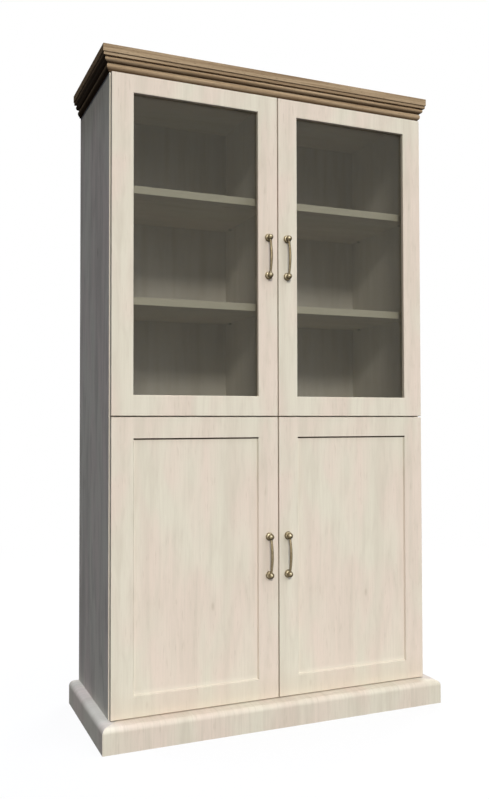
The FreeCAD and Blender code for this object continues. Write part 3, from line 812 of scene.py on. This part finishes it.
@dataclass
class BowHandle:
    """A bow between two balls, each on a turned rosette. The sizes are in millimetres from the door.

    A place on the bow is a share of the way from its middle to a ball's middle, and a spot is a place
    with its width.
    """

    node: str
    body: str
    rosette: tuple[Range, ...] = (
        (13.1, 0.0), (13.7, 0.3), (13.8, 1.0), (13.5, 1.65), (12.95, 1.8), (12.55, 1.6), (12.3, 1.55),
        (12.25, 1.95), (12.4, 2.7), (12.35, 4.4), (11.7, 6.2), (10.2, 7.7), (8.4, 8.6), (6.8, 9.0))
    rosette_steps: int = 6
    ball_radius: float = 10.0
    ball_middle: float = 15.5
    ball_steps: int = 34
    bow_root: float = 13.2
    bow_rise: float = 10.5
    bow_end: float = 0.97
    bow_steps: int = 61
    bow_radii: Range = (2.9, 4.7)
    ring_height: float = 1.2
    ring_spot: Range = (0.832, 0.013)
    ring_ends: Range = (0.78, 0.89)
    ring_steps: int = 27
    around: int = 40
    wear: HandleWearAndLight = HandleWearAndLight()

    def __post_init__(self) -> None:
        """Finds the door's face, the middle and the spacing of the fixings from the frame."""
        low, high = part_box(self.node)
        self.seat = Vector(((low.x + high.x) / 2, high.y, (low.z + high.z) / 2))
        self.half = (high.z - low.z) / 2 / MM - max(r for r, _ in self.rosette)
        angle = np.linspace(0.0, 2 * np.pi, self.around, endpoint=False)
        self.cosine, self.sine = np.cos(angle), np.sin(angle)

    def set_out(self, x: np.ndarray, out: np.ndarray, z: np.ndarray) -> np.ndarray:
        """Places points of the handle in the frame.

        Args:
            x: Millimetres to the right of the middle.
            out: Millimetres out from the door's face.
            z: Millimetres above the middle.

        Returns:
            The points in metres.
        """
        x, out, z = np.broadcast_arrays(x, out, z)
        return np.stack([self.seat.x + x * MM, self.seat.y - out * MM, self.seat.z + z * MM], -1)

    def turned(self, profile: np.ndarray, wear: np.ndarray) -> list[Shell]:
        """Turns a profile about both lines out of the door: radius times cosine and sine of the angle.

        Painted light is added: the value grows upwards with the angle's sine and falls to the right with
        its cosine.

        Args:
            profile: Radius and distance from the door, of shape (count, 2).
            wear: Rubbing along the profile, before the painted light is added.

        Returns:
            The lower and the upper turned skin.
        """
        radius, out = profile[:, :1], profile[:, 1:]
        shade = wear[:, None] + self.wear.top * self.sine - self.wear.side * self.cosine
        skins = []
        for level in (-self.half, self.half):
            rings = self.set_out(radius * self.cosine, out, level + radius * self.sine)
            ends = self.set_out(0.0, out[[0, -1], 0], level)
            skins.append(Shell.tube(rings, np.clip(shade, 0.0, 1.0), ends))
        return skins

    def rosettes(self) -> list[Shell]:
        """Turns the two rosettes; their rubbing grows with the profile's height over its neighbours.

        Returns:
            The two skins.
        """
        profile = eased(self.rosette, self.rosette_steps)
        hollow = np.gradient(np.gradient(profile[:, 1]))
        crest = np.clip(-hollow * self.wear.crest, *self.wear.crest_limits)
        rim = np.interp(profile[:, 0], self.wear.rim_radii, FULL)
        wear = np.clip(self.wear.rosette + self.wear.rim * rim + crest, 0.0, 1.0)
        return self.turned(profile, wear)

    def balls(self) -> list[Shell]:
        """Turns the two balls: radius r·sin(a), distance m − r·cos(a); the front is rubbed most.

        Returns:
            The two skins.
        """
        angle = np.linspace(0.0, np.pi, self.ball_steps)[1:-1]
        profile = np.stack([self.ball_radius * np.sin(angle),
                            self.ball_middle - self.ball_radius * np.cos(angle)], -1)
        wear = np.linspace(*self.wear.ball_ends, self.ball_steps)[1:-1]
        return self.turned(profile, np.clip(wear, self.wear.ball_least, 1.0))

    def bow(self) -> Shell:
        """Sweeps the bow: its distance from the door is root + rise·(1 − t²) along t from −1 to 1.

        The radius grows from the ends to the middle with 1 − t², and swells into a narrow ring beside
        each ball, a bell curve in |t|. The outer side is rubbed, the inner side stays dark, and so does
        the neck between ring and ball; painted shade darkens the bow towards the right.

        Returns:
            The skin.
        """
        near = np.linspace(*self.ring_ends, self.ring_steps)
        even = np.linspace(-self.bow_end, self.bow_end, self.bow_steps)
        t = np.unique(np.concatenate([even, near, -near]))
        arch = 1 - t ** 2
        out, height = self.bow_root + self.bow_rise * arch, t * self.half
        ring = bell(np.abs(t), *self.ring_spot)
        neck = bell(np.abs(t), *self.wear.neck_spot)
        thin, thick = self.bow_radii
        radius = (thin + (thick - thin) * arch + self.ring_height * ring)[:, None]
        lean = np.arctan2(-2 * self.bow_rise * t, self.half)[:, None]
        rings = self.set_out(radius * self.cosine, out[:, None] + radius * self.sine * np.cos(lean),
                             height[:, None] - radius * self.sine * np.sin(lean))
        # Rubbing on the outer side, painted shade to the right, the ring rubbed and the neck darker.
        wear = (self.wear.bow + self.wear.bow_outer * self.sine - self.wear.bow_right_shade * self.cosine
                + (self.wear.ring * ring + self.wear.neck * neck)[:, None])
        ends = self.set_out(0.0, out[[0, -1]], height[[0, -1]])
        return Shell.tube(rings, np.clip(wear, 0.0, 1.0), ends)

    def build(self) -> None:
        """Makes the handle in place of its node, on its door."""
        skin = Shell.gather([*self.rosettes(), *self.balls(), self.bow()])
        piece = skin.build(f"{self.node}_turned", BRASS)
        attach(piece, self.body)
        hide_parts(self.node)
        LOG.info("%s has %d triangles", piece.name, len(skin.faces))


@dataclass
class Carcass:
    """The boards of the case, with its shelves, backs, hinge arms and hidden fixings."""

    back_outer_share: float = 0.55
    side_gloss: float = 0.0
    # The sides' print is darker and greyer than the doors': painted shade.
    side_shade: float = 0.92
    side_smear_share: float = 0.62
    side_band_share: float = 0.50
    edge_reach: Range = (1.0 * MM, 0.2 * MM)
    # Painted light: the front edges are painted paler to stand in for light on the strip beside the
    # doors.
    front_edge_light: Wash = Wash(tone(240, 231, 214), 0.9)
    shelf_band: Wash = Wash(tone(234, 226, 196), 0.9)
    inner_skin: float = 0.3 * MM
    inside: Wash = Wash(tone(238, 231, 214), 0.6)

    def dress(self) -> None:
        """Puts the foil on the boards, a darker greyer copy on the sides' outer faces for painted shade,
        paler inside and painted lighter on the front edges, and plates the fixings.
        """
        (low, left_inner), (right_inner, high) = (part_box(f"{side.value}_side_panel") for side in Side)
        inside = Trim((left_inner.x - self.inner_skin, low.y, low.z),
                      (right_inner.x + self.inner_skin, high.y, high.z), self.inside)
        # Painted light on the front edges of the sides and partitions.
        front = Trim.slab("Y", low.y, self.edge_reach, (low, high), self.front_edge_light)
        # The outer faces of the sides carry painted shade; the inner faces keep a paler print.
        upright = PineFoil("pine_foil_side", Grain.UP_THE_SIDE, tones=PINE_SIDE_SHADED, shade=self.side_shade,
                           gloss=self.side_gloss, smear_share=self.side_smear_share,
                           band_share=self.side_band_share, trims=(inside, front))
        dress(upright, "left_side_panel", "right_side_panel", "upper_partition", "lower_partition")
        brow = min(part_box(name)[0].y for name in self.shelves())
        lip = Trim.slab("Y", brow, self.edge_reach, (low, high), self.shelf_band)
        level = PineFoil("pine_foil_level", Grain.ALONG_THE_WIDTH, tones=PINE_LEVEL, trims=(lip,))
        dress(level, "bottom_panel", "middle_deck", "top_panel", "top_front_rail", *self.shelves())
        low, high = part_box("left_back_panel")
        outer_from = low.y + (high.y - low.y) * self.back_outer_share
        dress(BackBoard("pressed_back_board", outer_from), "left_back_panel", "right_back_panel")
        dress(BEECH, "carcass_dowels")
        dress(NICKEL, "shelf_pins", "hinge_arms", "hinge_plates")
        dress(ZINC, "back_panel_screws", "hinge_plate_screws")
        dress(BUMPER_RUBBER, "door_bumpers")

    @staticmethod
    def shelves() -> Iterable[str]:
        """Gives the names of the eight shelves."""
        return (f"{storey.value}_{side.value}_{level}_shelf"
                for storey in Storey for side in Side for level in ("low", "high"))


@dataclass
class Crown:
    """The brown top board and its beaded mouldings, with painted shade dark below each bead.

    The painted shade's steps are in millimetres above the mouldings' foot.
    """

    # Painted shade below each bead, by height above the mouldings' foot.
    bead_shade_steps: tuple[Range, ...] = (
        (0.0, 0.88), (3.5, 0.80), (7.0, 0.66), (10.5, 0.46), (14.0, 0.22), (17.0, 0.06), (20.0, 0.16),
        (24.0, 0.36), (26.0, 0.66), (28.5, 0.62), (31.5, 0.48), (34.5, 0.20), (38.0, 0.0), (42.0, 0.0),
        (44.5, 0.10), (46.0, 0.30), (51.5, 0.30), (52.6, 0.85), (54.0, 0.90))
    # Painted highlight: the front moulding is a lighter copy of the oak, brightening its bead crests.
    highlit_front_light: RGB = tone(207, 182, 150)
    highlit_front_dark: RGB = tone(169, 143, 113)
    # Painted shade: the side returns are a darker copy of the oak.
    shaded_return_light: RGB = tone(143, 125, 103)
    shaded_return_dark: RGB = tone(115, 96, 76)
    end_reach: Range = (0.3 * MM, 0.3 * MM)
    # Painted shade on both ends of the top board.
    board_end_shade: Wash = Wash(tone(92, 76, 60), 0.55)
    board_start: Triple = (3.5, 0.0, 0.0)

    def dress(self) -> None:
        """Runs the oak along the front as a lighter copy and along each side as a darker copy, painted
        light and shade, with painted shade on the board's two ends.
        """
        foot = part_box("crown_front_moulding")[0].z
        bead_shade = MouldingShade(foot, tuple((height * MM, share) for height, share in self.bead_shade_steps))
        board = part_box("crown_top_board")
        # Painted shade on the top board's two ends.
        ends = tuple(Trim.slab("X", end.x, self.end_reach, board, self.board_end_shade) for end in board)
        dress(BrownOak("oak_top", Grain.ALONG_THE_WIDTH, self.board_start, trims=ends), "crown_top_board")
        dress(BrownOak("oak_front", Grain.ALONG_THE_WIDTH, light=self.highlit_front_light, dark=self.highlit_front_dark,
                       bead_shade=bead_shade), "crown_front_moulding")
        dress(BrownOak("oak_side", Grain.ALONG_THE_DEPTH, light=self.shaded_return_light, dark=self.shaded_return_dark,
                       bead_shade=bead_shade), "crown_left_moulding", "crown_right_moulding")


@dataclass
class Plinth:
    """The round-nosed base, wrapped in a slightly deeper tone of the doors' foil, its sides in a darker
    copy for painted shade.
    """

    shade: float = 0.93
    # Painted shade: the plinth's sides are darker than its front.
    side_shade: float = 0.86
    side_gloss: float = 0.05
    line_share: float = 0.30
    front_start: Triple = (0.31, 0.0, 0.4)

    def dress(self) -> None:
        """Runs the print up the faces and over the nose."""
        dress(PineFoil("pine_foil_plinth", Grain.UP_THE_FRONT, self.front_start, shade=self.shade,
                       line_share=self.line_share), "plinth_front", "plinth_back_rail")
        dress(PineFoil("pine_foil_plinth_side", Grain.UP_THE_SIDE, tones=PINE_PLINTH_SIDE_SHADED,
                       shade=self.side_shade, gloss=self.side_gloss, line_share=self.line_share),
              "plinth_left", "plinth_right")


@dataclass
class Door:
    """One door of either storey, with its handle and the hinge halves that it carries."""

    storey: Storey
    side: Side
    rail: float = 66.0 * MM
    stile: float = 71.0 * MM
    bevel: float = 4.0 * MM
    recess: float = 6.0 * MM
    arris: float = 0.7 * MM
    crease: float = 1.2 * MM
    skin: float = 0.2 * MM
    edge_start: float = 0.3 * MM
    floor_depth: float = 1.0 * MM
    # Heights of the painted highlight at the recess's foot and of the painted shade at the door's foot.
    recess_highlight_height: float = 17.0 * MM
    door_foot_shade_height: float = 110.0 * MM
    # Painted shade on the hinged edge.
    hinged_edge_shade: Wash = Wash(tone(126, 118, 110), 0.60)
    # Painted shade at the door's foot, a painted highlight at the recess's foot and painted shade on its
    # bottom bevel.
    door_foot_shade: Wash = Wash(tone(200, 188, 170), 0.46)
    recess_highlight: Wash = Wash(tone(244, 235, 219), 0.45)
    bevel_shade: Wash = Wash(tone(196, 185, 168), 0.34)

    @property
    def name(self) -> str:
        """Start of the names of this door's nodes."""
        return f"{self.storey.value}_{self.side.value}"

    @property
    def leaf(self) -> str:
        """Name of the door's frame or panel."""
        return f"{self.name}_door_frame" if self.storey is Storey.UPPER else f"{self.name}_door"

    def recess_trims(self) -> list[Trim]:
        """Gives the painted shade and highlight of a lower door's recess and foot.

        Returns:
            Painted shade in the crease under the top rail, a painted highlight at the foot of the recess,
            painted shade on the bottom bevel and painted shade that fades upwards from the door's bottom
            edge.
        """
        low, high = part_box(self.leaf)
        left, right, floor = low.x + self.stile, high.x - self.stile, low.y + self.recess
        edge, foot = high.z - self.rail, low.z + self.rail
        rise = foot + self.bevel
        # Painted shade in the crease, a painted highlight at the recess's foot, painted shade on the
        # bevel and at the door's foot.
        return [Trim((left, low.y + self.arris, edge - self.bevel - self.crease), (right, floor, edge)),
                Trim((left, floor - self.skin, rise), (right, floor + self.floor_depth, rise), self.recess_highlight,
                     (self.floor_depth, self.skin, self.recess_highlight_height)),
                Trim((left, low.y + self.skin, foot), (right, floor - 2 * self.skin, rise),
                     self.bevel_shade, Trim.FINE),
                Trim(tuple(low), (high.x, high.y, low.z), self.door_foot_shade, (self.door_foot_shade_height,) * 3)]

    def foil(self) -> PineFoil:
        """Gives the print, which starts anew at the middle of each door.

        Returns:
            The print, with glaze where the doors meet, a darker edge at the hinges and, on a lower
            door, the tones of its recess.
        """
        low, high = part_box(self.leaf)
        meeting, hinged = (high.x, low.x) if self.side is Side.LEFT else (low.x, high.x)
        front, behind = low.y + self.arris, Vector((low.x, low.y + self.edge_start, low.z))
        # Painted shade on the meeting edge, where shade falls in the gap, and on the hinged edge.
        trims = [Trim((meeting - self.arris, low.y, low.z), (meeting + self.arris, front, high.z)),
                 Trim.slab("X", hinged, (self.skin, self.skin), (behind, high), self.hinged_edge_shade)]
        if self.storey is Storey.LOWER:
            trims += self.recess_trims()
        return PineFoil(f"pine_foil_{self.name}", Grain.UP_THE_FRONT, tuple((low + high) / 2),
                        trims=tuple(trims))

    def dress(self) -> None:
        """Dresses the leaf, then its fittings, and makes its handle."""
        dress(self.foil(), self.leaf)
        fittings = {"hinge_cups": NICKEL, "hinge_pins": NICKEL, "handle_screws": ZINC}
        if self.storey is Storey.UPPER:
            fittings |= {"glass": GLASS, "glass_clips": CLIP_PLASTIC, "glass_clip_screws": ZINC}
        for ending, finish in fittings.items():
            dress(finish, f"{self.name}_{ending}")
        BowHandle(f"{self.name}_handle", f"{self.name}_leaf").build()


@dataclass(frozen=True)
class FarLamp:
    """A lamp far off: its turn to the right of the front and its height, and how wide it looks.

    The three are degrees. A lamp that isn't mirrored doesn't show in gloss.
    """

    name: str
    turn: float
    height: float
    light: float
    colour: RGB
    width: float
    mirrored: bool = True

    def hang(self) -> None:
        """Makes the lamp, shining from its direction onto the object."""
        turn, height = np.radians([self.turn, self.height])
        level = np.cos(height)
        lamp = bpy.data.lights.new(self.name, "SUN")
        lamp.energy, lamp.color, lamp.angle = self.light, self.colour, np.radians(self.width)
        holder = stand(self.name, lamp)
        source = Vector((np.sin(turn) * level, -np.cos(turn) * level, np.sin(height)))
        holder.rotation_euler = source.to_track_quat("Z", "Y").to_euler()
        holder.visible_glossy = self.mirrored


@dataclass
class Studio:
    """A white room: a pale floor, four lamps, an even sky and the camera."""

    floor_half: float = 14.0
    floor_seen: RGB = (0.86, 0.86, 0.87)
    floor_bounce: RGB = (0.05, 0.05, 0.055)
    floor_roughness: float = 0.9
    floor_gloss: float = 0.1
    floor_white: float = 0.90
    white_from: Range = (1.2, 4.0)
    sky_colour: RGB = (0.60, 0.78, 1.0)
    sky_light: float = 0.045
    key: FarLamp = FarLamp("key", -16.0, 27.5, 1.70, (1.0, 0.975, 0.89), 9.3)
    soft: FarLamp = FarLamp("soft", 28.0, 40.0, 2.30, (0.93, 0.955, 1.0), 84.0, mirrored=False)
    top: FarLamp = FarLamp("top", -135.0, 80.0, 1.45, (0.75, 0.81, 1.0), 14.0, mirrored=False)
    back_place: Triple = (3.2, 3.4, 3.4)
    back_aim: Triple = (0.0, 0.0, 1.0)
    back_light: float = 190.0
    back_size: float = 3.0
    eye: Triple = (-1.1899, -2.7392, 1.0013)
    bearing: Triple = (22.819, 1.505, -0.115)
    picture_height: int = 799
    focal_pixels: float = 831.84

    @staticmethod
    def seen_directly(nodes: Nodes) -> Socket:
        """Adds a value that is 1 for rays from the camera, from gloss and through glass."""
        path = nodes.add("ShaderNodeLightPath").outputs
        return nodes.reckon("MAXIMUM", path["Is Camera Ray"], nodes.reckon(
            "MAXIMUM", path["Is Glossy Ray"], path["Is Transmission Ray"]))

    def sky(self) -> None:
        """Makes the world: white where it is seen, a dim cool light on the object."""
        world = bpy.data.worlds.new("studio")
        bpy.context.scene.world = world
        nodes = Nodes(world)
        dim, white = (nodes.add("ShaderNodeBackground", {"Color": colour, "Strength": strength})
                      for colour, strength in ((self.sky_colour, self.sky_light), (UNIT, 1.0)))
        chosen = nodes.add("ShaderNodeMixShader", {"Fac": self.seen_directly(nodes),
                                                   1: dim.outputs["Background"],
                                                   2: white.outputs["Background"]})
        nodes.add("ShaderNodeOutputWorld", {"Surface": chosen.outputs["Shader"]})

    def floor(self) -> None:
        """Lays a floor that looks white, keeps a faint shadow and melts into the sky far off."""
        h = self.floor_half
        mesh = bpy.data.meshes.new("floor")
        mesh.from_pydata([(-h, -h, 0.0), (h, -h, 0.0), (h, h, 0.0), (-h, h, 0.0)], [], [(0, 1, 2, 3)])
        floor = stand("floor", mesh)
        recipe = Recipe("floor_paint")
        seen = self.seen_directly(recipe)
        recipe.set(Base_Color=recipe.blend(seen, self.floor_bounce, self.floor_seen),
                   Roughness=self.floor_roughness, Specular_IOR_Level=self.floor_gloss)
        white = recipe.add("ShaderNodeEmission").outputs["Emission"]
        level = recipe.place((1.0, 1.0, 0.0))
        distance = recipe.add("ShaderNodeVectorMath", {0: level}, operation="LENGTH")
        fade = recipe.spread(distance.outputs["Value"], self.white_from, (self.floor_white, 1.0))
        mixed = recipe.add("ShaderNodeMixShader", {"Fac": recipe.reckon("MULTIPLY", fade, seen),
                                                   1: recipe.shader.outputs["BSDF"], 2: white})
        recipe.feed(recipe.output.inputs["Surface"], mixed.outputs["Shader"])
        mesh.materials.append(recipe.material)

    def lamps(self) -> None:
        """Hangs the key and the soft lamp in front, one overhead and a weaker wide lamp behind."""
        for lamp in (self.key, self.soft, self.top):
            lamp.hang()
        back = bpy.data.lights.new("back", "AREA")
        back.energy, back.size = self.back_light, self.back_size
        rear = stand("back", back)
        rear.location = self.back_place
        source = Vector(self.back_place) - Vector(self.back_aim)
        rear.rotation_euler = source.to_track_quat("Z", "Y").to_euler()

    def camera(self) -> None:
        """Sets up the camera from its place, its turn and its focal length in picture pixels."""
        yaw, pitch, roll = np.radians(self.bearing)
        ahead = np.array([np.sin(yaw) * np.cos(pitch), np.cos(yaw) * np.cos(pitch), np.sin(pitch)])
        level = np.array([np.cos(yaw), -np.sin(yaw), 0.0])
        upright = np.cross(level, ahead)
        right = np.cos(roll) * level + np.sin(roll) * upright
        up = np.cos(roll) * upright - np.sin(roll) * level
        turn = Matrix(np.stack([right, up, -ahead], 1).tolist()).to_4x4()
        lens = bpy.data.cameras.new("camera")
        lens.lens = lens.sensor_width * self.focal_pixels / self.picture_height
        camera = stand("camera", lens)
        camera.matrix_world = Matrix.Translation(self.eye) @ turn
        bpy.context.scene.camera = camera

    def build(self) -> None:
        """Makes the floor, the sky, the lamps and the camera."""
        bpy.context.scene.view_settings.view_transform = "Standard"
        self.floor()
        self.sky()
        self.lamps()
        self.camera()


def main() -> None:
    """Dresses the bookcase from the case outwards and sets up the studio."""
    logging.basicConfig(level=logging.INFO, format="%(name)s: %(message)s")
    Carcass().dress()
    Crown().dress()
    Plinth().dress()
    for storey in Storey:
        for side in Side:
            Door(storey, side).dress()
    Studio().build()


if __name__ == "__main__":
    main()
